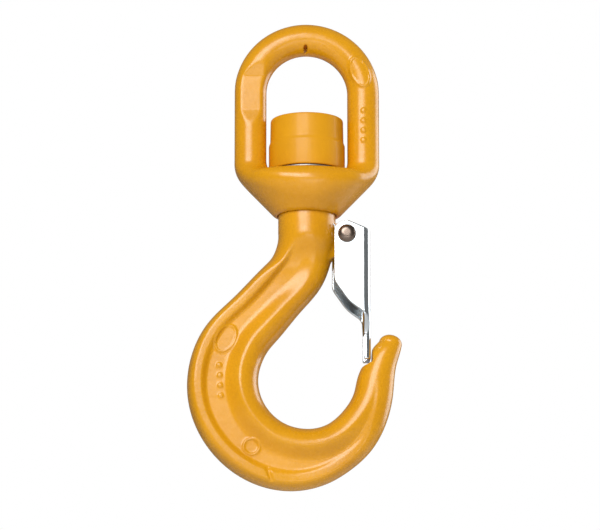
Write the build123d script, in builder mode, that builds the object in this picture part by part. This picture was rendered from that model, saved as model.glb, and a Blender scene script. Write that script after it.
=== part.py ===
from build123d import *
import os
from math import sqrt

os.makedirs("parts", exist_ok=True)

# Swivel hook, millimetres. Z is up along the swivel axis, X points to the hook's opening.
# The origin is where a load bears on the inside of the eye's crown.

# Suspension eye
BAR_R = 8.2  # round bar of the bow
BOW_R = 28.9  # centreline radius of the bow
BOW_Z = -20.7  # height of the bow's centre
BOSS_TOP = -62.6  # face the bearing sits on
BOSS_BOTTOM = -85.0
BOSS_RIM = BOSS_TOP - 4.5  # the boss's top rolls over above this height
BOSS_A = 36.4  # half length of the oval boss along X
BOSS_B = 26.0  # half width of the oval boss along Y
CONE_LIP_R = 17.4
CONE_LIP_Z = -83.9
FLAT_Y = 6.3  # flats forged on the left leg, distance from the bar's centre
STUDS = 4  # plain raised studs in a row, on the leg and on the hook's web
STUD_R = 1.3
STUD_PITCH = 5.2

# Shank, bush and bearing
SHANK_R = 10.0
FIT = 0.05  # radial clearance of a running fit
BUSH_R = 12.0
WASHER_R = 18.9
WASHER_T = 0.8
RACE_R = 17.3
RACE_T = 3.0
BALL_R = 2.0
BALL_GAP = 0.3  # ball to groove, drawn open
BALL_PITCH_R = 14.0
BALLS = 12
CAGE_T = 1.6
STACK_Z = BOSS_TOP + WASHER_T
BALL_Z = STACK_Z + RACE_T + 0.9
UPPER_RACE_Z = STACK_Z + RACE_T + 1.8
NUT_Z = UPPER_RACE_Z + RACE_T
NUT_H = 13.0
NUT_FLATS = 27.0
PIN_R = 2.0

# Shroud cap over the nut and the bearing
SHROUD_TOP = -34.3
SHROUD_BOTTOM = -61.5
SHROUD_R = 18.6
SKIRT_R = 19.4
SKIRT_STEP = -47.5
SHROUD_WALL = 1.6

# Hook
NECK_R = 14.6
NECK_TOP = -84.0
NECK_END = -93.0
WEB_HALF = 7.2
PIVOT_X = 19.7
PIVOT_Z = -96.0
LUG_R = 8.6
LUG_T = 9.0
SEAT_X = 32.9  # flat on the tip that the latch closes against

# Latch
SHEET = 2.0
LATCH_W = 23.3
TONGUE_W = 13.0
RIVET_R = 3.5
RIVET_HEAD_R = 4.5
SPRING_R = 5.3
WIRE_R = 0.7


# ---- eye -------------------------------------------------------------------------------
with BuildPart() as eye_forging:
    # Oval boss, its top rolled over at the rim
    with BuildSketch(Plane.XY.offset(BOSS_BOTTOM)):
        Ellipse(BOSS_A, BOSS_B)
    extrude(amount=BOSS_RIM - BOSS_BOTTOM)
    with BuildSketch(Plane.XY.offset(BOSS_RIM)):
        Ellipse(BOSS_A, BOSS_B)
    with BuildSketch(Plane.XY.offset(BOSS_TOP - 1.9)):
        Ellipse(BOSS_A - 0.9, BOSS_B - 1.5)
    with BuildSketch(Plane.XY.offset(BOSS_TOP)):
        Ellipse(BOSS_A - 3.6, BOSS_B - 5.4)
    loft()
    # Roots of the legs, widening towards the boss
    for side in (-1, 1):
        with BuildSketch(Plane.XY.offset(-47.0)):
            with Locations((side * BOW_R, 0)):
                Ellipse(BAR_R - 2.0, BAR_R - 1.0)
        with BuildSketch(Plane.XY.offset(-56.0)):
            with Locations((side * BOW_R, 0)):
                Ellipse(BAR_R - 1.0, BAR_R + 1.3)
        with BuildSketch(Plane.XY.offset(BOSS_TOP - 1.1)):
            with Locations((side * BOW_R, 0)):
                Ellipse(BAR_R - 0.6, BAR_R + 5.0)
        loft()
    # Bow and legs, one bent bar
    with BuildLine() as bow:
        Line((-BOW_R, 0, -68), (-BOW_R, 0, BOW_Z))
        ThreePointArc((-BOW_R, 0, BOW_Z), (0, 0, BOW_Z + BOW_R), (BOW_R, 0, BOW_Z))
        Line((BOW_R, 0, BOW_Z), (BOW_R, 0, -68))
    with BuildSketch(Plane(origin=(-BOW_R, 0, -68), z_dir=(0, 0, 1))):
        Circle(BAR_R)
    sweep(path=bow.line)
    # Cone underneath: everything outside it is cut away
    with BuildSketch(Plane.XZ):
        with BuildLine():
            Polyline(
                (0, BOSS_BOTTOM),
                (CONE_LIP_R - 1.1, BOSS_BOTTOM),
                (CONE_LIP_R, CONE_LIP_Z),
                (38.1, -61.9),
                (45, -61.9),
                (45, 30),
                (0, 30),
                close=True,
            )
        make_face()
    revolve(axis=Axis.Z, mode=Mode.INTERSECT)
    # Flats on the left leg, running out above and below
    for side in (-1, 1):
        with BuildSketch(Plane.YZ.offset(-BOW_R - 10)):
            with BuildLine():
                Polyline(
                    (side * 9, -3.0),
                    (side * FLAT_Y, -12.5),
                    (side * FLAT_Y, -30.3),
                    (side * 9, -39.0),
                    close=True,
                )
            make_face()
        extrude(amount=19, mode=Mode.SUBTRACT)
    # Plain oval pad on the right leg
    with BuildSketch(Plane.XZ.offset(6)):
        with Locations(Location((26.9, -9.9, 0), (0, 0, 1), 21.5)):
            Ellipse(4.6, 8.4)
    extrude(amount=2.6)
    # Row of plain round studs further down the same leg
    with BuildSketch(Plane.XZ.offset(7)):
        with Locations((BOW_R - 0.3, -38.3)):
            with GridLocations(0, STUD_PITCH, 1, STUDS):
                Circle(STUD_R)
    extrude(amount=1.7)
    # Bore for the bush and the recess the hook's shoulder runs in
    with Locations((0, 0, BOSS_BOTTOM)):
        Cylinder(BUSH_R, 30, align=(Align.CENTER, Align.CENTER, Align.MIN), mode=Mode.SUBTRACT)
        Cylinder(
            NECK_R + 0.4, 2.2, align=(Align.CENTER, Align.CENTER, Align.MIN), mode=Mode.SUBTRACT
        )
eye_forging.part.label = "eye_forging"
export_step(eye_forging.part, "parts/eye_forging.step")

with BuildPart() as shaft_bush:
    with Locations((0, 0, BOSS_BOTTOM + 2.4)):
        Cylinder(
            BUSH_R - 0.02,
            BOSS_TOP - BOSS_BOTTOM - 2.6,
            align=(Align.CENTER, Align.CENTER, Align.MIN),
        )
    Cylinder(SHANK_R + FIT, 400, mode=Mode.SUBTRACT)
shaft_bush.part.label = "shaft_bush"
export_step(shaft_bush.part, "parts/shaft_bush.step")

# ---- bearing ---------------------------------------------------------------------------
with BuildPart() as thrust_washer:
    with Locations((0, 0, BOSS_TOP)):
        Cylinder(WASHER_R, WASHER_T, align=(Align.CENTER, Align.CENTER, Align.MIN))
    chamfer(thrust_washer.edges().filter_by(GeomType.CIRCLE), 0.2)
    Cylinder(SHANK_R + 0.5, 400, mode=Mode.SUBTRACT)
thrust_washer.part.label = "thrust_washer"
export_step(thrust_washer.part, "parts/thrust_washer.step")

with BuildPart() as lower_race:
    with BuildSketch(Plane.XZ):
        with Locations(((SHANK_R + 0.4 + RACE_R) / 2, STACK_Z + RACE_T / 2)):
            Rectangle(RACE_R - SHANK_R - 0.4, RACE_T)
        with Locations((BALL_PITCH_R, BALL_Z)):
            Circle(BALL_R + BALL_GAP, mode=Mode.SUBTRACT)
    revolve(axis=Axis.Z)
lower_race.part.label = "lower_race"
export_step(lower_race.part, "parts/lower_race.step")

with BuildPart() as upper_race:
    with BuildSketch(Plane.XZ):
        with Locations(((SHANK_R + 0.03 + RACE_R) / 2, UPPER_RACE_Z + RACE_T / 2)):
            Rectangle(RACE_R - SHANK_R - 0.03, RACE_T)
        with Locations((BALL_PITCH_R, BALL_Z)):
            Circle(BALL_R + BALL_GAP, mode=Mode.SUBTRACT)
    revolve(axis=Axis.Z)
upper_race.part.label = "upper_race"
export_step(upper_race.part, "parts/upper_race.step")

with BuildPart() as ball_cage:
    with Locations((0, 0, BALL_Z)):
        Cylinder(RACE_R - 0.6, CAGE_T - 0.4)
        Cylinder(SHANK_R + 0.6, CAGE_T, mode=Mode.SUBTRACT)
        with PolarLocations(BALL_PITCH_R, BALLS):
            Cylinder(BALL_R + 0.05, CAGE_T, mode=Mode.SUBTRACT)
ball_cage.part.label = "ball_cage"
export_step(ball_cage.part, "parts/ball_cage.step")

with BuildPart() as bearing_balls:
    with Locations((0, 0, BALL_Z)):
        with PolarLocations(BALL_PITCH_R, BALLS):
            Sphere(BALL_R)
bearing_balls.part.label = "bearing_balls"
export_step(bearing_balls.part, "parts/bearing_balls.step")

with BuildPart() as dust_seal:
    with Locations((0, 0, STACK_Z + 0.15)):
        Cylinder(SKIRT_R - SHROUD_WALL - 0.03, 2.4, align=(Align.CENTER, Align.CENTER, Align.MIN))
    Cylinder(RACE_R + 0.08, 400, mode=Mode.SUBTRACT)
dust_seal.part.label = "dust_seal"
export_step(dust_seal.part, "parts/dust_seal.step")

with BuildPart() as neck_seal:
    with Locations((0, 0, NECK_TOP + 0.05)):
        Cylinder(NECK_R - 0.2, 1.0, align=(Align.CENTER, Align.CENTER, Align.MIN))
    Cylinder(SHANK_R + 0.02, 400, mode=Mode.SUBTRACT)
neck_seal.part.label = "neck_seal"
export_step(neck_seal.part, "parts/neck_seal.step")

# ---- nut, its pin and the shroud ---------------------------------------------------------
with BuildPart() as swivel_nut:
    with BuildSketch(Plane.XY.offset(NUT_Z)):
        RegularPolygon(NUT_FLATS / 2, 6, major_radius=False, rotation=30)
    extrude(amount=NUT_H)
    with BuildSketch(Plane.XY.offset(NUT_Z)):
        Circle(NUT_FLATS / sqrt(3) - 0.35)
    extrude(amount=NUT_H, mode=Mode.INTERSECT)
    Cylinder(SHANK_R + 0.02, 400, mode=Mode.SUBTRACT)
    with Locations(Location((0, 0, NUT_Z + NUT_H / 2), (90, 0, 0))):
        Cylinder(PIN_R + 0.02, 60, mode=Mode.SUBTRACT)
swivel_nut.part.label = "swivel_nut"
export_step(swivel_nut.part, "parts/swivel_nut.step")

with BuildPart() as nut_lock_pin:
    with Locations(Location((0, 0, NUT_Z + NUT_H / 2), (90, 0, 0))):
        Cylinder(PIN_R, NUT_FLATS - 0.4)
        Cylinder(PIN_R - 0.8, NUT_FLATS, mode=Mode.SUBTRACT)
nut_lock_pin.part.label = "nut_lock_pin"
export_step(nut_lock_pin.part, "parts/nut_lock_pin.step")

with BuildPart() as bearing_shroud:
    with BuildSketch(Plane.XZ):
        with BuildLine():
            Polyline(
                (0, SHROUD_TOP),
                (SHROUD_R, SHROUD_TOP),
                (SHROUD_R, SKIRT_STEP + 0.8),
                (SKIRT_R, SKIRT_STEP - 0.8),
                (SKIRT_R, SHROUD_BOTTOM),
                (SKIRT_R - SHROUD_WALL, SHROUD_BOTTOM),
                (SKIRT_R - SHROUD_WALL, SKIRT_STEP - 1.4),
                (SHROUD_R - SHROUD_WALL, SKIRT_STEP),
                (SHROUD_R - SHROUD_WALL, SHROUD_TOP - SHROUD_WALL),
                (0, SHROUD_TOP - SHROUD_WALL),
                close=True,
            )
        make_face()
    revolve(axis=Axis.Z)
    fillet(bearing_shroud.edges().filter_by(GeomType.CIRCLE).sort_by(Axis.Z)[-1], 1.5)
    fillet(bearing_shroud.edges().filter_by(GeomType.CIRCLE).sort_by(Axis.Z)[:2], 0.3)
bearing_shroud.part.label = "bearing_shroud"
export_step(bearing_shroud.part, "parts/bearing_shroud.step")

# ---- hook --------------------------------------------------------------------------------
# Each station gives the inner edge (x, z), the outer edge (x, z), the half thickness of the
# rib along the inner side and of the rim along the outer side, and how round the section is.
STATIONS = [
    (14.6, -97.5, -14.6, -97.0, 14.6, 14.6, 1.0),
    (13.2, -105.0, -17.0, -104.5, 11.4, 12.6, 0.75),
    (8.6, -119.0, -21.8, -110.8, 9.2, 10.8, 0.25),
    (-2.6, -133.9, -29.9, -119.3, 9.6, 10.2, 0.0),
    (-13.3, -147.2, -39.5, -129.2, 11.0, 9.8, 0.0),
    (-19.7, -155.0, -49.5, -140.2, 11.6, 9.6, 0.0),
    (-23.4, -163.0, -57.1, -153.8, 12.0, 9.5, 0.0),
    (-24.6, -170.8, -60.5, -171.8, 12.3, 9.5, 0.0),
    (-23.5, -177.6, -58.1, -188.4, 12.5, 9.5, 0.0),
    (-17.3, -187.9, -42.0, -213.1, 12.5, 9.5, 0.0),
    (-11.9, -192.0, -28.3, -222.0, 12.5, 9.5, 0.0),
    (-3.7, -194.7, -8.6, -226.3, 12.5, 9.5, 0.0),
    (5.6, -194.3, 11.9, -221.6, 12.3, 9.5, 0.0),
    (10.6, -192.3, 21.9, -215.4, 12.0, 9.5, 0.05),
    (15.7, -188.3, 31.8, -206.3, 11.6, 9.4, 0.2),
    (20.3, -182.8, 39.0, -194.2, 11.0, 9.2, 0.5),
    (24.0, -175.2, 43.2, -179.3, 10.2, 9.4, 0.85),
    (26.0, -167.0, 44.3, -168.5, 9.2, 9.2, 1.0),
    (29.6, -159.2, 45.4, -161.4, 8.3, 8.3, 1.0),
    (34.2, -152.0, 47.3, -154.8, 6.9, 6.9, 1.0),
    (37.3, -148.3, 47.5, -150.3, 5.2, 5.2, 1.0),
    (40.2, -146.2, 45.0, -147.1, 2.4, 2.4, 1.0),
]
# Half thickness along the section from the inner edge to the outer, as a share of the rib's
# (first four), of the web's (next two) and of the rim's (last three).
SPOTS = (0.035, 0.13, 0.25, 0.37, 0.46, 0.66, 0.77, 0.88, 0.965)
SHARES = (0.52, 0.92, 1.0, 0.86, 1.0, 1.0, 0.94, 1.0, 0.62)


def section_outline(rib, rim, roundness):
    """Half outline of a section as (share across, half thickness) pairs."""
    levels = [rib] * 4 + [WEB_HALF] * 2 + [rim] * 3
    pairs = []
    for spot, share, level in zip(SPOTS, SHARES, levels):
        oval = 2 * (rib + (rim - rib) * spot) * sqrt(spot * (1 - spot))
        pairs.append((spot, roundness * oval + (1 - roundness) * share * level))
    return pairs


with BuildPart() as hook_forging:
    with BuildSketch(Plane(origin=(0, 0, NECK_END), x_dir=(1, 0, 0), z_dir=(0, 0, 1))):
        Circle(NECK_R)
    for xi, zi, xo, zo, rib, rim, roundness in STATIONS:
        across = Vector(xo - xi, 0, zo - zi)
        across_plane = Plane(
            origin=(xi, 0, zi), x_dir=across, z_dir=across.cross(Vector(0, 1, 0))
        )
        half = section_outline(rib, rim, roundness)
        width = across.length
        upper = [(s * width, h) for s, h in half]
        lower = [(s * width, -h) for s, h in reversed(half)]
        with BuildSketch(across_plane):
            with BuildLine():
                Spline((0, 0), *upper, (width, 0), *lower, periodic=True)
            make_face()
    loft()
    # Round neck and the shank through the eye
    with BuildSketch(Plane.XY.offset(NECK_END)):
        Circle(NECK_R)
    extrude(amount=NECK_TOP - NECK_END)
    chamfer(hook_forging.edges().filter_by(GeomType.CIRCLE).sort_by(Axis.Z)[-1], 0.6)
    with BuildSketch(Plane.XY.offset(NECK_TOP)):
        Circle(SHANK_R)
    extrude(amount=NUT_Z + NUT_H + 1.0 - NECK_TOP)
    chamfer(hook_forging.edges().filter_by(GeomType.CIRCLE).sort_by(Axis.Z)[-1], 1.0)
    # Lug that carries the latch
    with BuildSketch(Plane.XZ.offset(-LUG_T / 2)):
        with Locations((PIVOT_X, PIVOT_Z)):
            Circle(LUG_R)
        with BuildLine():
            Polyline(
                (8, -86.5),
                (PIVOT_X + 1.5, PIVOT_Z + LUG_R - 0.15),
                (PIVOT_X + 3.0, PIVOT_Z - LUG_R + 0.6),
                (8, -116),
                close=True,
            )
        make_face()
    extrude(amount=LUG_T)
    with Locations(Location((PIVOT_X, 0, PIVOT_Z), (90, 0, 0))):
        Cylinder(RIVET_R + FIT, 60, mode=Mode.SUBTRACT)
    # Cross hole for the nut's pin
    with Locations(Location((0, 0, NUT_Z + NUT_H / 2), (90, 0, 0))):
        Cylinder(PIN_R + 0.02, 60, mode=Mode.SUBTRACT)
    # Flat seat on the tip for the latch's tongue
    with BuildSketch(Plane.XZ.offset(-15)):
        with BuildLine():
            Polyline(
                (SEAT_X, -146), (SEAT_X, -160.6), (27.0, -163.2), (20.0, -163.2), (20.0, -146), close=True
            )
        make_face()
    extrude(amount=30, mode=Mode.SUBTRACT)
    # Plain raised marks on the front of the web: an oval pad, a row of studs and a ring
    with BuildSketch(Plane.XZ.offset(WEB_HALF - 1.2)):
        with Locations(Location((-41.1, -150.9, 0), (0, 0, 1), -20)):
            Ellipse(5.4, 7.6)
        with Locations((-44.6, -172.0)):
            with GridLocations(0, STUD_PITCH, 1, STUDS):
                Circle(STUD_R)
        with Locations((-28.2, -205.9)):
            Circle(4.4)
            Circle(3.0, mode=Mode.SUBTRACT)
    extrude(amount=1.7)
hook_forging.part.label = "hook_forging"
export_step(hook_forging.part, "parts/hook_forging.step")

# ---- latch -------------------------------------------------------------------------------
SPINE_X = 31.9  # outer face of the spine
CHEEK_X = 13.7  # free edge of the cheeks
CHEEK_TOP = PIVOT_Z + 6.9
CHEEK_LOW = -119.8
NECK_START = -137.4
TONGUE_START = -146.0
TONGUE_END = -159.6
TONGUE_DEPTH = 4.2

with BuildPart() as latch_plate:
    # Solid outline seen from the front, squeezed to the tongue's width lower down
    with BuildSketch(Plane.XZ.offset(-LATCH_W / 2)):
        with BuildLine():
            Polyline(
                (SPINE_X, CHEEK_TOP - 4.0),
                (PIVOT_X + 2.0, CHEEK_TOP),
                (CHEEK_X, CHEEK_TOP),
                (CHEEK_X, CHEEK_LOW),
                (20.4, -130.4),
                (SPINE_X - TONGUE_DEPTH, NECK_START),
                (SPINE_X - TONGUE_DEPTH, TONGUE_END),
                (SPINE_X, TONGUE_END),
                close=True,
            )
        make_face()
    extrude(amount=LATCH_W)
    fillet(latch_plate.edges().filter_by(Axis.Y).sort_by(Axis.X)[:1], 2.5)
    with BuildSketch(Plane.YZ):
        with BuildLine():
            Polyline(
                (-LATCH_W / 2, 0),
                (-LATCH_W / 2, NECK_START),
                (-TONGUE_W / 2, TONGUE_START),
                (-TONGUE_W / 2, -200),
                (TONGUE_W / 2, -200),
                (TONGUE_W / 2, TONGUE_START),
                (LATCH_W / 2, NECK_START),
                (LATCH_W / 2, 0),
                close=True,
            )
        make_face()
    extrude(amount=60, mode=Mode.INTERSECT)
    # Bent edges of the sheet along the spine
    fillet(
        latch_plate.edges().filter_by_position(Axis.X, SPINE_X - 0.01, SPINE_X + 0.01)
        .filter_by_position(Axis.Z, -158, -98),
        3.0,
    )
    # Inside of the channel
    with BuildSketch(Plane.YZ.offset(0)):
        with BuildLine():
            Polyline(
                (-LATCH_W / 2 + SHEET, 0),
                (-LATCH_W / 2 + SHEET, NECK_START + 0.7),
                (-TONGUE_W / 2 + SHEET, TONGUE_START + 0.7),
                (-TONGUE_W / 2 + SHEET, -200),
                (TONGUE_W / 2 - SHEET, -200),
                (TONGUE_W / 2 - SHEET, TONGUE_START + 0.7),
                (LATCH_W / 2 - SHEET, NECK_START + 0.7),
                (LATCH_W / 2 - SHEET, 0),
                close=True,
            )
        make_face()
    extrude(amount=SPINE_X - SHEET, mode=Mode.SUBTRACT)
    with Locations(Location((PIVOT_X, 0, PIVOT_Z), (90, 0, 0))):
        Cylinder(RIVET_R + FIT, 60, mode=Mode.SUBTRACT)
latch_plate.part.label = "latch_plate"
export_step(latch_plate.part, "parts/latch_plate.step")

with BuildPart() as latch_rivet:
    half = LATCH_W / 2
    with Locations(Location((PIVOT_X, 0, PIVOT_Z), (90, 0, 0))):
        Cylinder(RIVET_R, LATCH_W + 0.4)
    # Domed heads
    for side in (-1, 1):
        with Locations((PIVOT_X, side * (half + 0.05 - 1.8), PIVOT_Z)):
            Sphere(sqrt(RIVET_HEAD_R**2 + 1.8**2))
    with Locations((PIVOT_X, 0, PIVOT_Z)):
        Box(20, LATCH_W + 0.1, 20, mode=Mode.SUBTRACT)
        Cylinder(RIVET_R, LATCH_W + 0.4, rotation=(90, 0, 0))
latch_rivet.part.label = "latch_rivet"
export_step(latch_rivet.part, "parts/latch_rivet.step")

with BuildPart() as spring_sleeves:
    for side in (-1, 1):
        with Locations(
            Location((PIVOT_X, side * (LUG_T / 2 + LATCH_W / 2 - SHEET) / 2, PIVOT_Z), (90, 0, 0))
        ):
            Cylinder(SPRING_R - WIRE_R - 0.1, (LATCH_W - 2 * SHEET - LUG_T) / 2 - 0.2)
            Cylinder(RIVET_R + FIT, 12, mode=Mode.SUBTRACT)
spring_sleeves.part.label = "spring_sleeves"
export_step(spring_sleeves.part, "parts/spring_sleeves.step")

# ---- spring: a coil each side of the lug, joined by a bridge that presses on the spine ------
COIL_TURNS = 2.25
COIL_PITCH = 1.45
COIL_Y = LUG_T / 2 + 0.2 + WIRE_R
BRIDGE_X = SPINE_X - SHEET - WIRE_R - 0.1
BRIDGE_Z = PIVOT_Z - 11.0

KNUCKLE_R = WIRE_R + 0.08  # the wire swells a little where it is bent sharply

with BuildPart() as latch_spring:
    # Front coil, wound from beside the lug out towards the cheek
    with BuildLine() as coil:
        Helix(
            COIL_PITCH,
            COIL_PITCH * COIL_TURNS,
            SPRING_R,
            center=(PIVOT_X, -COIL_Y, PIVOT_Z),
            direction=(0, -1, 0),
            lefthand=True,
        )
    with BuildSketch(Plane(origin=coil.line @ 0, z_dir=coil.line % 0)):
        Circle(WIRE_R)
    sweep(path=coil.line, is_frenet=True)
    # The wire runs straight off both ends of the coil
    start = coil.line @ 0
    end = coil.line @ 1
    start_bend = start - (coil.line % 0) * 2.0
    end_bend = end + (coil.line % 1) * 2.0
    for a, b in ((start, start_bend), (end, end_bend)):
        with BuildSketch(Plane(origin=a, z_dir=b - a)):
            Circle(WIRE_R)
        extrude(amount=2.0)
    # Leg to the spine, half of the bridge across it, and a short leg resting on the neck
    corner = Vector(BRIDGE_X, start_bend.Y, BRIDGE_Z)
    middle = Vector(BRIDGE_X, 0, BRIDGE_Z)
    rest = Vector(end_bend.X - 1.2, end_bend.Y, end_bend.Z + 6.0)
    for a, b in ((start_bend, corner), (corner, middle), (end_bend, rest)):
        with BuildSketch(Plane(origin=a, z_dir=b - a)):
            Circle(WIRE_R)
        extrude(amount=(b - a).length)
    with Locations(start_bend, corner, end_bend, rest):
        Sphere(KNUCKLE_R)
    mirror(about=Plane.XZ)
latch_spring.part.label = "latch_spring"
export_step(latch_spring.part, "parts/latch_spring.step")
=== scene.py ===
import math

import bpy
import numpy as np
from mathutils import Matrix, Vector


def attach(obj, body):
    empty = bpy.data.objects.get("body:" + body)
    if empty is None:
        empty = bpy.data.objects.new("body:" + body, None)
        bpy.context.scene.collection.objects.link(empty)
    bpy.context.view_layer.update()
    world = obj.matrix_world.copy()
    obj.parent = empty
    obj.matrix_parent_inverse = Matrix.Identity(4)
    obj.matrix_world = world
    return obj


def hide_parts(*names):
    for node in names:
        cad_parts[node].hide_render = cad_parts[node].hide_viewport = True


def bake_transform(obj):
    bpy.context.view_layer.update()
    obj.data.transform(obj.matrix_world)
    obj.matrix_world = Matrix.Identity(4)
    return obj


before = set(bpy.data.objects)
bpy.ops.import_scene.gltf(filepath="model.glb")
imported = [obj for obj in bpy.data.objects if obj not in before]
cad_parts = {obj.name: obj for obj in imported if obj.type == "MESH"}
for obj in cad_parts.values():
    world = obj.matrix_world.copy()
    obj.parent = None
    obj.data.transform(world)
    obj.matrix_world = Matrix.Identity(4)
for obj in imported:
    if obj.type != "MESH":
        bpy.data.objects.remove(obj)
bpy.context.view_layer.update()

# Shapes are worked out in millimetres, in the part's frame, and scaled once when a mesh is made.
MM = 0.001
STEP = 0.5  # grid of the forged surfaces

# Eye: the bar and its bow, the flats on the left leg, the boss, and the cone under the boss
BAR_R, BOW_R, BOW_Z, LEG_END = 8.2, 28.9, -20.7, -70.0
FLAT_Y, FLAT_TOP, FLAT_BOTTOM = 6.3, -12.5, -30.3
BOSS_A, BOSS_B, BOSS_TOP, BOSS_BOTTOM = 37.3, 26.0, -62.6, -85.0
CONE_R, CONE_Z, CONE_SLOPE = 17.45, -83.9, 0.943
SEAT_R, BUSH_R, CUT_TOP = 20.0, 12.0, -45.0
RECESS_TOP, RECESS_GAP = -82.8, 0.45
PIT_X, PIT_Z, PIT_R = -0.9, 2.6, 1.0

# Plain marks
STUDS, STUD_R, STUD_PITCH = 4, 1.25, 5.2
RING_X, RING_Z, RING_R = -28.2, -205.4, 4.0

# Hook: neck, web between rib and rim, lug for the latch, tip, and the tongue's seat in the tip
NECK_R, NECK_TOP, NECK_END = 14.6, -84.0, -93.0
WEB = 7.2
RIM_ROUND, RIM_LAND = 4.0, 6.6
PIVOT_X, PIVOT_Z, LUG_R, LUG_HALF = 19.7, -96.0, 8.6, 4.5
LUG_ROOT_X, LUG_ROOT_Z, LUG_ROOT_R, LUG_TOP = 11.0, -96.6, 11.0, -89.6
TIP_LENGTH = 4.6
SEAT_X, SEAT_Z, SEAT_SLOPE, SEAT_START, SEAT_TOP = 32.9, -160.8, 0.42, 20.0, -140.0

# Latch: a sheet channel, squeezed to a tongue at its lower end
SHEET, LATCH_HALF, TONGUE_HALF = 2.0, 11.65, 6.5
SQUEEZE_Z, SQUEEZE_LENGTH = -136.2, 11.0
BEND_R, BEND_LOSS = 3.6, 1.2
SPINE_X, SPINE_LEAN, LEAN_Z, LEAN_LENGTH = 31.6, 0.5, -125.0, 25.0
CHEEK_X, CHEEK_TOP, TOP_SLOPE = 13.4, 6.9, 0.42
CHEEK_SLANTS = [(12.9, -119.8, 0.69), (20.6, -131.0, 1.41)]
FLANGE_X, FLANGE_TOP, LATCH_END = 28.6, -134.0, -159.6

# Turned pieces
SHANK_R, SHANK_TOP, SHANK_CHAMFER = 10.0, -40.7, 1.0
SHROUD_TOP, SHROUD_BOTTOM = -34.3, -61.5
RIVET_R, HEAD_FLAT, HEAD_ROUND, HEAD_HEIGHT, HEAD_GAP = 3.5, 1.5, 3.2, 2.75, 0.1


# ---- fields: negative inside, in millimetres -------------------------------------------------
def smin(a, b, k):
    """Smooth union with a fillet of about k."""
    h = np.maximum(k - np.abs(a - b), 0) / k
    return np.minimum(a, b) - h * h * k / 4


def smax(a, b, k):
    """Smooth intersection with a rounding of about k."""
    return -smin(-a, -b, k)


def ramp(t):
    t = np.clip(t, 0, 1)
    return t * t * (3 - 2 * t)


def oval(x, z, cx, cz, rx, rz, turn):
    """Below 0 inside an oval of half sizes rx and rz; turn is in radians."""
    c, s = math.cos(turn), math.sin(turn)
    u = (x - cx) * c + (z - cz) * s
    v = -(x - cx) * s + (z - cz) * c
    k0 = np.hypot(u / rx, v / rz) + 1e-9
    k1 = np.hypot(u / rx**2, v / rz**2) + 1e-9
    return k0 * (k0 - 1) / k1


def bar_mark(x, z, cx, cz, hx, hz, turn=0.0):
    """Below 0 inside a rounded rectangle."""
    c, s = math.cos(turn), math.sin(turn)
    u = np.abs((x - cx) * c + (z - cz) * s) - hx + 0.5
    v = np.abs(-(x - cx) * s + (z - cz) * c) - hz + 0.5
    return np.hypot(np.maximum(u, 0), np.maximum(v, 0)) + np.minimum(np.maximum(u, v), 0) - 0.5


def raised(d, height, edge=0.5):
    """Height of a forged mark whose outline is d = 0."""
    return height * ramp(0.5 - d / (2 * edge))


def studs(x, z, cx, cz, turn=0.0):
    """Height of a row of plain round studs that starts at (cx, cz) and runs down."""
    lift = 0.0
    for k in range(STUDS):
        along = STUD_PITCH * k
        d = np.hypot(x - cx - along * math.sin(turn), z - cz + along * math.cos(turn)) - STUD_R
        lift = np.maximum(lift, raised(d, 0.5, 0.4))
    return lift


def plain_pad(x, z, cx, cz, rx, rz, turn):
    """Height of an oval pad with a raised border and an empty middle."""
    d = oval(x, z, cx, cz, rx, rz, turn)
    return np.maximum(raised(d, 0.3, 0.4), raised(np.abs(d + 0.9) - 0.55, 0.62, 0.4))


def leg_marks(x, z):
    return np.maximum(plain_pad(x, z, 26.7, -10.2, 5.2, 8.8, 0.375), studs(x, z, 28.5, -30.6))


def crown_pip(x, y, z):
    """Below 0 inside the small upright pit in the front of the crown."""
    return np.maximum(np.hypot(x - PIT_X, (z - PIT_Z) * 0.6) - PIT_R, y + 0.5)


def eye_field(x, y, z):
    r = np.hypot(x, y)
    on_bow = np.hypot(np.hypot(x, z - BOW_Z) - BOW_R, y)
    on_leg = np.hypot(np.abs(x) - BOW_R, y)
    bar = np.where(z > BOW_Z, on_bow, on_leg) - BAR_R
    bar = bar - np.where(y < 0, leg_marks(x, z), 0)
    # flats on the left leg
    flat = FLAT_Y + 0.27 * np.maximum(z - FLAT_TOP, 0)
    flat = flat + 0.24 * np.maximum(FLAT_BOTTOM - z, 0)
    bar = np.where(x < 0, smax(bar, np.abs(y) - flat, 0.5), bar)
    # boss
    k0 = np.hypot(x / BOSS_A, y / BOSS_B) + 1e-9
    k1 = np.hypot(x / BOSS_A**2, y / BOSS_B**2) + 1e-9
    plan = k0 * (k0 - 1) / k1
    boss = smax(plan, z - BOSS_TOP, 9.0)
    body = smin(smax(bar, LEG_END - z, 1.0), boss, 7.0)
    cone = (r - (CONE_R + (z - CONE_Z) * CONE_SLOPE)) / math.hypot(1, CONE_SLOPE)
    # the boss is no wider than the legs
    body = smax(body, np.abs(x) - BOW_R - BAR_R - 0.1, 0.8)
    body = smax(body, cone, 4.5)
    body = smax(body, BOSS_BOTTOM - z, 1.4)
    body = smax(body, -crown_pip(x, y, z), 0.3)
    # spot face for the bearing, bore, and the recess for the hook's shoulder
    body = smax(body, -np.maximum(np.maximum(r - SEAT_R, BOSS_TOP - z), z - CUT_TOP), 0.4)
    body = smax(body, -np.maximum(r - BUSH_R, z - CUT_TOP), 0.3)
    return smax(body, -np.maximum(r - NECK_R - RECESS_GAP, z - RECESS_TOP), 0.3)


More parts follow.
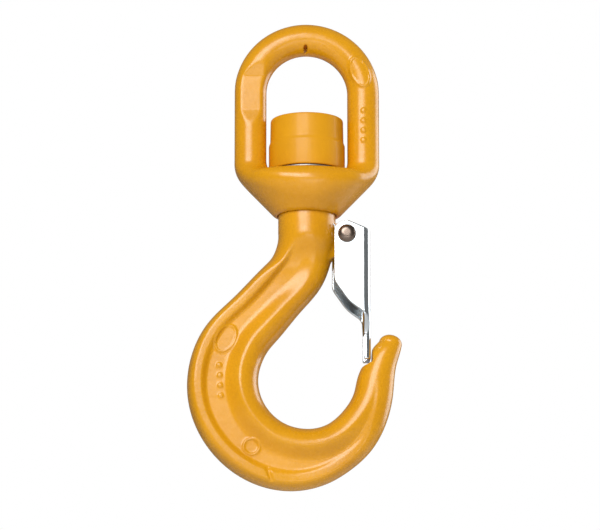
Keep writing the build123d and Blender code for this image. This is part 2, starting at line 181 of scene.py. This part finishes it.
# Stations along the hook: inner edge (x, z), outer edge (x, z), half thickness of the rib and of
# the rim, and how round the section is.
STATIONS = np.array(
    [
        (14.6, -93.0, -14.6, -93.0, 14.6, 14.6, 1.0),
        (14.6, -97.5, -14.6, -97.0, 14.6, 14.6, 1.0),
        (13.2, -105.0, -16.7, -104.6, 11.4, 12.6, 0.75),
        (8.6, -119.0, -21.4, -110.9, 9.2, 10.8, 0.25),
        (-2.6, -133.9, -29.5, -119.5, 9.6, 10.2, 0.0),
        (-13.3, -147.2, -39.1, -129.5, 11.0, 9.8, 0.0),
        (-19.7, -155.0, -49.5, -140.2, 11.6, 9.6, 0.0),
        (-23.4, -163.0, -57.1, -153.8, 12.0, 9.5, 0.0),
        (-24.6, -170.8, -60.5, -171.8, 12.3, 9.5, 0.0),
        (-23.5, -177.6, -58.1, -188.4, 12.5, 9.5, 0.0),
        (-17.3, -187.9, -42.0, -213.1, 12.5, 9.5, 0.0),
        (-11.9, -192.0, -28.3, -222.0, 12.5, 9.4, 0.0),
        (-3.7, -194.7, -8.6, -226.4, 12.5, 8.4, 0.0),
        (5.6, -194.3, 11.9, -221.8, 12.3, 8.0, 0.0),
        (10.6, -192.3, 21.9, -215.6, 12.0, 7.9, 0.05),
        (15.7, -188.3, 31.8, -206.4, 11.6, 8.3, 0.2),
        (20.3, -182.8, 39.0, -194.2, 11.0, 8.9, 0.5),
        (24.0, -175.2, 43.2, -179.3, 10.2, 9.4, 0.85),
        (26.0, -167.0, 44.3, -168.5, 9.2, 9.2, 1.0),
        (29.6, -159.2, 45.4, -161.4, 8.3, 8.3, 1.0),
        (34.2, -152.0, 47.3, -154.8, 6.9, 6.9, 1.0),
        (36.6, -149.4, 48.0, -151.8, 5.7, 5.7, 1.0),
    ]
)


def smooth_rows(rows, count):
    """Natural cubic spline through rows, spaced by how far the middle of the section moves."""
    middle = (rows[:, 0:2] + rows[:, 2:4]) / 2
    at = np.concatenate([[0], np.cumsum(np.hypot(*np.diff(middle, axis=0).T))])
    gap = np.diff(at)
    n = len(at)
    system = np.zeros((n, n))
    rhs = np.zeros((n, rows.shape[1]))
    system[0, 0] = system[-1, -1] = 1
    for i in range(1, n - 1):
        system[i, i - 1 : i + 2] = gap[i - 1], 2 * (gap[i - 1] + gap[i]), gap[i]
        rhs[i] = 6 * ((rows[i + 1] - rows[i]) / gap[i] - (rows[i] - rows[i - 1]) / gap[i - 1])
    bend = np.linalg.solve(system, rhs)
    t = np.linspace(0, at[-1], count)
    i = np.clip(np.searchsorted(at, t, side="right") - 1, 0, n - 2)
    a = ((at[i + 1] - t) / gap[i])[:, None]
    b = 1 - a
    g = gap[i][:, None] ** 2 / 6
    return a * rows[i] + b * rows[i + 1] + ((a**3 - a) * bend[i] + (b**3 - b) * bend[i + 1]) * g


SECTIONS = smooth_rows(STATIONS, 280)
INNER, OUTER = SECTIONS[:, 0:2], SECTIONS[:, 2:4]
ACROSS = OUTER - INNER
WIDTH = np.hypot(ACROSS[:, 0], ACROSS[:, 1])
ACROSS = ACROSS / WIDTH[:, None]


def along_hook(x, z):
    """Fractional section number, or -1 outside the hook, and distance from the inner edge."""
    shape = np.broadcast(x, z).shape
    px = np.broadcast_to(x, shape).ravel()
    pz = np.broadcast_to(z, shape).ravel()
    best = np.full(px.shape, -1.0)
    from_inner = np.full(px.shape, 1e3)
    for lo in range(0, len(px), 20000):
        part = slice(lo, lo + 20000)
        dx = px[part, None] - INNER[None, :, 0]
        dz = pz[part, None] - INNER[None, :, 1]
        side = ACROSS[None, :, 0] * dz - ACROSS[None, :, 1] * dx
        u = ACROSS[None, :, 0] * dx + ACROSS[None, :, 1] * dz
        cross = (side[:, :-1] > 0) != (side[:, 1:] > 0)
        share = side[:, :-1] / (side[:, :-1] - side[:, 1:] + 1e-12)
        um = u[:, :-1] + (u[:, 1:] - u[:, :-1]) * share
        wm = WIDTH[None, :-1]
        outside = np.maximum(-um, um - wm)
        outside = np.where(cross, outside, 1e3)
        pick = np.argmin(outside, axis=1)
        rows = np.arange(len(pick))
        ok = outside[rows, pick] < 12
        best[part] = np.where(ok, pick + share[rows, pick], -1)
        from_inner[part] = um[rows, pick]
    return best.reshape(shape), from_inner.reshape(shape)


def at_station(column, t):
    i = np.clip(t.astype(int), 0, len(column) - 2)
    f = t - i
    return column[i] * (1 - f) + column[i + 1] * f


def web_marks(x, z):
    """Plain raised marks on the front of the web: an oval pad, a row of studs and a ring."""
    lift = plain_pad(x, z, -41.3, -150.2, 5.3, 8.0, -0.5)
    lift = np.maximum(lift, studs(x, z, -44.6, -163.8, 0.06))
    ring = np.abs(oval(x, z, RING_X, RING_Z, RING_R, RING_R, 0)) - 0.6
    lift = np.maximum(lift, raised(ring, 0.55, 0.4))
    # shallow lap left by the forging die, across the rim
    return lift - raised(bar_mark(x, z, -19.2, -219.5, 0.9, 3.6, 0.35), 0.8, 0.7)


def hook_field(x, y, z):
    t, d = along_hook(x, z)
    found = t >= 0
    t = np.maximum(t, 0)
    rib, rim, roundness = (at_station(SECTIONS[:, c], t) for c in (4, 5, 6))
    roundness = np.clip(roundness, 0, 1)
    width = at_station(WIDTH, t)
    e = width - d
    rib_r = 0.82 * rib
    rim_r = RIM_ROUND
    flat = WEB + (rib - WEB) * (1 - ramp((d - rib_r + 1.0) / 9.0))
    flat = flat + (rim - WEB) * (1 - ramp((e - RIM_LAND) / 3.4))
    inner_r = rib_r + (width / 2 - rib_r) * roundness
    outer_r = rim_r + (width / 2 - rim_r) * roundness
    even = rib + (rim - rib) * np.clip(d / width, 0, 1)
    high = flat + (even - flat) * roundness
    high = high + np.where(y < 0, web_marks(x, z), 0)
    cap = 1 - (np.maximum(inner_r - d, 0) / inner_r) ** 2
    cap = cap - (np.maximum(outer_r - e, 0) / outer_r) ** 2
    body = (y * y - high * high * cap) / (2 * high)
    body = np.where(found, body, 10.0)
    # tip: half an ellipsoid on the last section
    c = (INNER[-1] + OUTER[-1]) / 2
    u = ((x - c[0]) * ACROSS[-1, 0] + (z - c[1]) * ACROSS[-1, 1]) / (WIDTH[-1] / 2)
    v = (-(x - c[0]) * ACROSS[-1, 1] + (z - c[1]) * ACROSS[-1, 0]) / TIP_LENGTH
    w = y / SECTIONS[-1, 5]
    tip = (np.sqrt(u * u + v * v + w * w) - 1) * 4.8
    body = np.minimum(body, tip)
    # neck
    r = np.hypot(x, y)
    neck = smax(np.maximum(r - NECK_R, NECK_END - 1 - z), z - NECK_TOP, 1.0)
    body = np.minimum(body, neck)
    # lug: tapers from its root in the neck to the rivet
    run, rise = PIVOT_X - LUG_ROOT_X, PIVOT_Z - LUG_ROOT_Z
    share = ((x - LUG_ROOT_X) * run + (z - LUG_ROOT_Z) * rise) / (run**2 + rise**2)
    share = np.clip(share, 0, 1)
    lug = np.hypot(x - LUG_ROOT_X - share * run, z - LUG_ROOT_Z - share * rise)
    lug = lug - (LUG_ROOT_R - (LUG_ROOT_R - LUG_R) * share)
    lug = smax(lug, np.abs(y) - LUG_HALF, 1.6)
    body = smin(body, np.maximum(lug, z - LUG_TOP), 2.0)
    # seat for the latch's tongue
    seat = np.maximum(x - SEAT_X, -(z - SEAT_Z + SEAT_SLOPE * (SEAT_X - x)))
    seat = np.maximum(seat, SEAT_START - x)
    seat = np.maximum(seat, z - SEAT_TOP)
    return smax(body, -seat, 0.7)


def latch_field(x, y, z):
    # half width of the channel along its length, squeezed to the tongue's
    squeeze = ramp((SQUEEZE_Z - z) / SQUEEZE_LENGTH)
    half = LATCH_HALF + (TONGUE_HALF - LATCH_HALF) * squeeze
    bend = BEND_R - BEND_LOSS * squeeze
    spine = SPINE_X + SPINE_LEAN * ramp((LEAN_Z - z) / LEAN_LENGTH)
    u = x - spine + bend
    v = np.abs(y) - half + bend
    skin = np.hypot(np.maximum(u, 0), np.maximum(v, 0)) + np.minimum(np.maximum(u, v), 0) - bend
    sheet = smax(skin, -(skin + SHEET), 0.4)
    # free edge of the cheeks from the side: straight, two slants, then the tongue's flange
    edge = CHEEK_X - x
    for corner_x, corner_z, run in CHEEK_SLANTS:
        slant = ((corner_z - z) * run - (x - corner_x)) / math.hypot(1, run)
        edge = smax(edge, slant, 1.2)
    edge = smin(edge, np.maximum(FLANGE_X - x, z - FLANGE_TOP), 2.0)
    outline = smax(sheet, edge, 0.4)
    # rounded top of the cheeks and the sloping top of the spine
    top = z - PIVOT_Z - CHEEK_TOP
    corner = np.hypot(x - PIVOT_X, z - PIVOT_Z) - CHEEK_TOP
    left_top = np.where((x < PIVOT_X) & (z > PIVOT_Z), corner, -9.0)
    slope = (z - PIVOT_Z - CHEEK_TOP + (x - PIVOT_X - 1.0) * TOP_SLOPE) / math.hypot(1, TOP_SLOPE)
    outline = smax(outline, np.maximum(top, slope), 0.6)
    outline = smax(outline, left_top, 0.6)
    return smax(outline, LATCH_END - z, 0.8)


# ---- from a field to a mesh ------------------------------------------------------------------
CORNERS = [(i, j, k) for i in (0, 1) for j in (0, 1) for k in (0, 1)]
EDGES = [
    (a, b)
    for a in range(8)
    for b in range(a + 1, 8)
    if sum(abs(p - q) for p, q in zip(CORNERS[a], CORNERS[b])) == 1
]


def skin_of(field, low, high, step):
    """Vertices and quads of the surface where field is 0, inside the box from low to high."""
    axes = [np.arange(a, b + step, step) for a, b in zip(low, high)]
    grid = field(axes[0][:, None, None], axes[1][None, :, None], axes[2][None, None, :])
    inside = grid < 0
    nx, ny, nz = (n - 1 for n in grid.shape)
    filled = np.zeros((nx, ny, nz), np.int8)
    for i, j, k in CORNERS:
        filled += inside[i : nx + i, j : ny + j, k : nz + k]
    active = (filled > 0) & (filled < 8)
    cell = np.argwhere(active)
    number = np.full(active.shape, -1, np.int64)
    number[active] = np.arange(len(cell))
    ci, cj, ck = cell.T
    value = np.stack([grid[ci + i, cj + j, ck + k] for i, j, k in CORNERS], 1)
    total = np.zeros((len(cell), 3))
    hits = np.zeros(len(cell))
    corner = np.array(CORNERS, float)
    for a, b in EDGES:
        cut = (value[:, a] < 0) != (value[:, b] < 0)
        share = value[:, a] / np.where(cut, value[:, a] - value[:, b], 1)
        total += np.where(cut[:, None], corner[a] + (corner[b] - corner[a]) * share[:, None], 0)
        hits += cut
    points = np.array(low) + (cell + total / hits[:, None]) * step
    quads = []
    for axis in range(3):
        p, q = (axis + 1) % 3, (axis + 2) % 3
        first = [slice(None)] * 3
        second = [slice(None)] * 3
        first[axis], second[axis] = slice(0, -1), slice(1, None)
        a, b = inside[tuple(first)], inside[tuple(second)]
        at = np.argwhere(a != b)
        in_p = (at[:, p] > 0) & (at[:, p] < grid.shape[p] - 1)
        in_q = (at[:, q] > 0) & (at[:, q] < grid.shape[q] - 1)
        at = at[in_p & in_q]
        leaving = a[tuple(at.T)]
        ring = []
        for dp, dq in ((1, 1), (0, 1), (0, 0), (1, 0)):
            place = at.copy()
            place[:, p] -= dp
            place[:, q] -= dq
            ring.append(number[tuple(place.T)])
        ring = np.stack(ring, 1)
        quads.append(np.where(leaving[:, None], ring, ring[:, ::-1]))
    return points, np.concatenate(quads)


def settle(field, points, step, rounds=2):
    """Move points onto the surface exactly, so that reflections stay smooth."""
    tiny = 0.03
    for _ in range(rounds):
        x, y, z = points.T
        here = field(x, y, z)
        slope = np.stack(
            [
                (field(x + tiny, y, z) - here) / tiny,
                (field(x, y + tiny, z) - here) / tiny,
                (field(x, y, z + tiny) - here) / tiny,
            ],
            1,
        )
        size = np.maximum((slope**2).sum(1), 0.05)
        move = -here[:, None] * slope / size[:, None]
        length = np.linalg.norm(move, axis=1)
        move *= np.minimum(1, 0.5 * step / np.maximum(length, 1e-9))[:, None]
        points = points + move
    return points


def add_mesh(name, points, faces, material, body, *nodes):
    mesh = bpy.data.meshes.new(name)
    mesh.from_pydata((np.asarray(points) * MM).tolist(), [], [list(map(int, f)) for f in faces])
    mesh.update()
    mesh.polygons.foreach_set("use_smooth", [True] * len(mesh.polygons))
    obj = bpy.data.objects.new(name, mesh)
    bpy.context.scene.collection.objects.link(obj)
    mesh.materials.append(material)
    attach(obj, body)
    if nodes:
        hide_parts(*nodes)
    return obj


def forged(name, field, low, high, step, material, body, *nodes):
    points, quads = skin_of(field, low, high, step)
    points = settle(field, points, step)
    return add_mesh(name, points, quads, material, body, *nodes)


def turned(name, profile, material, body, *nodes, axis_at=(0, 0), along="z", sides=128):
    """Solid of revolution about a line along z or y; profile is (radius, height) pairs."""
    profile = np.array(profile, float)
    turn = np.linspace(0, 2 * np.pi, sides, endpoint=False)
    ring = np.stack([np.cos(turn), np.sin(turn)], 1)
    points = []
    for r, h in profile:
        flat = ring * max(r, 1e-4)
        if along == "z":
            points += [(a + axis_at[0], b + axis_at[1], h) for a, b in flat]
        else:
            points += [(a + axis_at[0], h, -b + axis_at[1]) for a, b in flat]
    faces = []
    for k in range(len(profile) - 1):
        for i in range(sides):
            j = (i + 1) % sides
            here, after = k * sides, (k + 1) * sides
            faces.append((here + i, here + j, after + j, after + i))
    return add_mesh(name, points, faces, material, body, *nodes)


def rounded_profile(points, radius, steps=6):
    """Corners of a profile rounded; the first and last points stay."""
    out = [points[0]]
    for before, here, after in zip(points, points[1:], points[2:]):
        b, h, a = (np.array(p, float) for p in (before, here, after))
        r = min(radius, 0.45 * np.linalg.norm(b - h), 0.45 * np.linalg.norm(a - h))
        start = h + (b - h) / np.linalg.norm(b - h) * r
        end = h + (a - h) / np.linalg.norm(a - h) * r
        for k in range(steps + 1):
            s = k / steps
            out.append(tuple((1 - s) ** 2 * start + 2 * s * (1 - s) * h + s * s * end))
    out.append(points[-1])
    return out


# ---- materials -------------------------------------------------------------------------------
def new_material(name):
    material = bpy.data.materials.new(name)
    material.use_nodes = True
    tree = material.node_tree
    shader = tree.nodes["Principled BSDF"]
    return material, tree, shader


def noise(tree, scale, detail=3.0, roughness=0.5, stretch=None):
    coords = tree.nodes.new("ShaderNodeTexCoord")
    tex = tree.nodes.new("ShaderNodeTexNoise")
    tex.inputs["Scale"].default_value = scale
    tex.inputs["Detail"].default_value = detail
    tex.inputs["Roughness"].default_value = roughness
    out = coords.outputs["Object"]
    if stretch:
        mapping = tree.nodes.new("ShaderNodeMapping")
        mapping.inputs["Scale"].default_value = stretch
        tree.links.new(out, mapping.inputs["Vector"])
        out = mapping.outputs["Vector"]
    tree.links.new(out, tex.inputs["Vector"])
    return tex


def colour_ramp(tree, source, stops):
    node = tree.nodes.new("ShaderNodeValToRGB")
    node.color_ramp.elements[0].position = stops[0][0]
    node.color_ramp.elements[0].color = (*stops[0][1], 1)
    node.color_ramp.elements[1].position = stops[-1][0]
    node.color_ramp.elements[1].color = (*stops[-1][1], 1)
    for at, colour in stops[1:-1]:
        node.color_ramp.elements.new(at).color = (*colour, 1)
    tree.links.new(source, node.inputs["Fac"])
    return node.outputs["Color"]


def spread(tree, source, low, high):
    node = tree.nodes.new("ShaderNodeMapRange")
    node.inputs["To Min"].default_value = low
    node.inputs["To Max"].default_value = high
    tree.links.new(source, node.inputs["Value"])
    return node.outputs["Result"]


def bump(tree, shader, source, strength, distance):
    node = tree.nodes.new("ShaderNodeBump")
    node.inputs["Strength"].default_value = strength
    node.inputs["Distance"].default_value = distance
    tree.links.new(source, node.inputs["Height"])
    tree.links.new(node.outputs["Normal"], shader.inputs["Normal"])
    return node


def paint(name, rough, gloss, uneven):
    """Orange-yellow paint over a forged or turned surface."""
    material, tree, shader = new_material(name)
    cloud = noise(tree, 38.0, 4.0)
    colour = colour_ramp(
        tree,
        cloud.outputs["Fac"],
        [(0.3, (0.70, 0.302, 0.003)), (0.5, (0.75, 0.332, 0.004)), (0.7, (0.79, 0.356, 0.005))],
    )
    tree.links.new(colour, shader.inputs["Base Color"])
    peel = noise(tree, 420.0, 2.0)
    tree.links.new(spread(tree, peel.outputs["Fac"], *rough), shader.inputs["Roughness"])
    forge = noise(tree, 95.0, 3.0)
    wave = tree.nodes.new("ShaderNodeBump")
    wave.inputs["Strength"].default_value = uneven
    wave.inputs["Distance"].default_value = 0.0006
    tree.links.new(forge.outputs["Fac"], wave.inputs["Height"])
    skin = bump(tree, shader, peel.outputs["Fac"], 0.10, 0.0003)
    tree.links.new(wave.outputs["Normal"], skin.inputs["Normal"])
    shader.inputs["Specular IOR Level"].default_value = gloss
    shader.inputs["Coat Weight"].default_value = 0.4 * gloss
    shader.inputs["Coat Roughness"].default_value = 0.12
    return material


def metal(name, low, high, rough, grain=(1, 1, 1), scale=300.0, depth=0.00008):
    material, tree, shader = new_material(name)
    cloud = noise(tree, 60.0, 3.0)
    colour = colour_ramp(tree, cloud.outputs["Fac"], [(0.3, low), (0.7, high)])
    tree.links.new(colour, shader.inputs["Base Color"])
    fine = noise(tree, scale, 3.0, 0.55, grain)
    tree.links.new(spread(tree, fine.outputs["Fac"], *rough), shader.inputs["Roughness"])
    bump(tree, shader, fine.outputs["Fac"], 0.15, depth)
    shader.inputs["Metallic"].default_value = 1.0
    return material


def rubber():
    material, tree, shader = new_material("seal_rubber_black")
    fine = noise(tree, 500.0, 3.0)
    stops = [(0.3, (0.012, 0.011, 0.010)), (0.7, (0.03, 0.028, 0.026))]
    colour = colour_ramp(tree, fine.outputs["Fac"], stops)
    tree.links.new(colour, shader.inputs["Base Color"])
    tree.links.new(spread(tree, fine.outputs["Fac"], 0.5, 0.75), shader.inputs["Roughness"])
    bump(tree, shader, fine.outputs["Fac"], 0.2, 0.0001)
    return material


PAINT = paint("forging_paint", (0.22, 0.32), 0.45, 0.35)
SHROUD_PAINT = paint("shroud_paint", (0.42, 0.52), 0.3, 0.12)
ZINC = metal(
    "zinc_plating", (0.70, 0.76, 0.80), (0.82, 0.87, 0.90), (0.14, 0.22), (1, 1, 0.15), 260.0
)
STEEL = metal("bearing_steel_ground", (0.60, 0.60, 0.61), (0.72, 0.72, 0.73), (0.2, 0.32))
# Darker steel for the thrust washer: painted shade of the narrow gap under the shroud's skirt
WASHER_STEEL = metal("washer_steel_painted_shade", (0.34, 0.33, 0.32), (0.5, 0.49, 0.47), (0.35, 0.5))
DARK = metal(
    "rivet_dark", (0.20, 0.150, 0.120), (0.28, 0.215, 0.175), (0.24, 0.32), (1, 1, 1), 500.0
)
BRONZE = metal("bush_bronze", (0.50, 0.31, 0.12), (0.62, 0.42, 0.18), (0.28, 0.4))
RUBBER = rubber()

# ---- pieces ----------------------------------------------------------------------------------
EYE_BOX = (-38.6, -27.5, -86), (38.6, 27.5, 18)
HOOK_BOX = (-63, -16, -230), (51, 16, -83)
LATCH_BOX = (12.5, -12.5, -161), (33, 12.5, -88)
forged("eye_forged", eye_field, *EYE_BOX, STEP, PAINT, "eye", "eye_forging")
forged("hook_forged", hook_field, *HOOK_BOX, STEP, PAINT, "hook", "hook_forging")
forged("latch_channel", latch_field, *LATCH_BOX, 0.6 * STEP, ZINC, "latch", "latch_plate")

# Shank up through the eye, from inside the neck to the nut
shank = [
    (0, -86),
    (SHANK_R, -86),
    (SHANK_R, SHANK_TOP - SHANK_CHAMFER),
    (SHANK_R - SHANK_CHAMFER, SHANK_TOP),
    (0, SHANK_TOP),
]
turned("hook_shank", shank, STEEL, "hook")

# Shroud: closed top, straight wall, small step out to the skirt, then up again inside
outside = [
    (0, SHROUD_TOP),
    (18.5, SHROUD_TOP),
    (18.7, -46.6),
    (19.4, -48.2),
    (19.4, SHROUD_BOTTOM),
    (17.8, SHROUD_BOTTOM),
    (17.8, -49),
]
shroud = rounded_profile(outside, 1.5)
shroud += [(16.8, -47.5), (16.8, -35.6), (0, -35.6)]
turned("shroud_cap", shroud[::-1], SHROUD_PAINT, "hook", "bearing_shroud")

# Rivet: a domed head on each side, a little flat in the middle
dome = [(0, 0)]
for a in np.linspace(0, math.pi / 2, 14):
    dome.append((HEAD_FLAT + HEAD_ROUND * math.sin(a), HEAD_HEIGHT * (math.cos(a) - 1)))
grip = LATCH_HALF + HEAD_GAP
front = [(r, -(grip + HEAD_HEIGHT + h)) for r, h in dome]
back = [(r, grip + HEAD_HEIGHT + h) for r, h in dome]
rivet = front + [(RIVET_R, -grip), (RIVET_R, grip)] + back[::-1]
rivet_axis = (PIVOT_X, PIVOT_Z)
turned("rivet_domed", rivet, DARK, "hook", "latch_rivet", axis_at=rivet_axis, along="y", sides=64)

# Spring: a copy of the coiled spring, with the wire above the bend pressed down so the upper leg
# stays down behind the cheek
LEG_BEND_Z = -91.5
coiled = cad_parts["latch_spring"]
wire = coiled.data.copy()
wire.transform(coiled.matrix_world)
for vertex in wire.vertices:
    vertex.co.z -= 0.75 * max(vertex.co.z - LEG_BEND_Z * MM, 0)
wire.materials.clear()
wire.materials.append(STEEL)
spring = bpy.data.objects.new("spring_wire", wire)
bpy.context.scene.collection.objects.link(spring)
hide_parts("latch_spring")
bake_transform(spring)

FINISH = {
    "thrust_washer": WASHER_STEEL,
    "lower_race": STEEL,
    "upper_race": STEEL,
    "bearing_balls": STEEL,
    "swivel_nut": STEEL,
    "nut_lock_pin": DARK,
    "shaft_bush": BRONZE,
    "ball_cage": BRONZE,
    "dust_seal": RUBBER,
    "neck_seal": RUBBER,
    "spring_sleeves": STEEL,
}
for node, finish in FINISH.items():
    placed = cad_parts[node]
    placed.data.materials.clear()
    placed.data.materials.append(finish)

# ---- room, lights and camera -----------------------------------------------------------------
bpy.context.scene.view_settings.view_transform = "Standard"

world = bpy.data.worlds.new("studio")
bpy.context.scene.world = world
world.use_nodes = True
world_tree = world.node_tree
seen = world_tree.nodes["Background"]
seen.inputs["Color"].default_value = (1, 1, 1, 1)
seen.inputs["Strength"].default_value = 1.0
lighting = world_tree.nodes.new("ShaderNodeBackground")
lighting.inputs["Color"].default_value = (1, 0.99, 0.97, 1)
lighting.inputs["Strength"].default_value = 0.17
ray = world_tree.nodes.new("ShaderNodeLightPath")
choose = world_tree.nodes.new("ShaderNodeMixShader")
world_tree.links.new(ray.outputs["Is Camera Ray"], choose.inputs["Fac"])
world_tree.links.new(lighting.outputs["Background"], choose.inputs[1])
world_tree.links.new(seen.outputs["Background"], choose.inputs[2])
world_tree.links.new(choose.outputs["Shader"], world_tree.nodes["World Output"].inputs["Surface"])

FLOOR_HALF, FLOOR_Z = 6, -0.95
floor_corners = [
    (-FLOOR_HALF, -FLOOR_HALF, FLOOR_Z),
    (FLOOR_HALF, -FLOOR_HALF, FLOOR_Z),
    (FLOOR_HALF, FLOOR_HALF, FLOOR_Z),
    (-FLOOR_HALF, FLOOR_HALF, FLOOR_Z),
]
floor_mesh = bpy.data.meshes.new("studio_floor")
floor_mesh.from_pydata(floor_corners, [], [(0, 1, 2, 3)])
floor = bpy.data.objects.new("studio_floor", floor_mesh)
bpy.context.scene.collection.objects.link(floor)
floor_look, _, floor_shader = new_material("studio_floor_pale")
floor_shader.inputs["Base Color"].default_value = (0.85, 0.85, 0.85, 1)
floor_shader.inputs["Roughness"].default_value = 0.8
floor_mesh.materials.append(floor_look)

TARGET = Vector((-3.5, 0, -110.1)) * MM


def lamp(name, place, size, power):
    """Soft rectangular lamp aimed at the hook; place and size in metres, power in watts."""
    data = bpy.data.lights.new(name, "AREA")
    data.shape = "RECTANGLE"
    data.size, data.size_y = size
    data.energy = power
    obj = bpy.data.objects.new(name, data)
    obj.location = place
    obj.rotation_euler = (TARGET - Vector(place)).to_track_quat("-Z", "Y").to_euler()
    bpy.context.scene.collection.objects.link(obj)


lamp("key_softbox", (-0.85, -2.8, 1.3), (2.0, 1.8), 86)
lamp("latch_panel", (0.32, -3.0, 0.60), (0.28, 0.6), 2.4)
lamp("low_fill", (0.3, -2.6, -0.6), (1.5, 0.4), 6)
lamp("right_fill", (2.2, 1.0, 0.4), (1.6, 1.8), 32)

camera_data = bpy.data.cameras.new("camera")
camera_data.lens = 260
camera_data.sensor_width = 36
camera = bpy.data.objects.new("camera", camera_data)
away, left, down = 2.2, math.radians(2.75), math.radians(13)
camera.location = TARGET + away * Vector(
    (-math.sin(left) * math.cos(down), -math.cos(left) * math.cos(down), -math.sin(down))
)
camera.rotation_euler = (TARGET - camera.location).to_track_quat("-Z", "Y").to_euler()
bpy.context.scene.collection.objects.link(camera)
bpy.context.scene.camera = camera
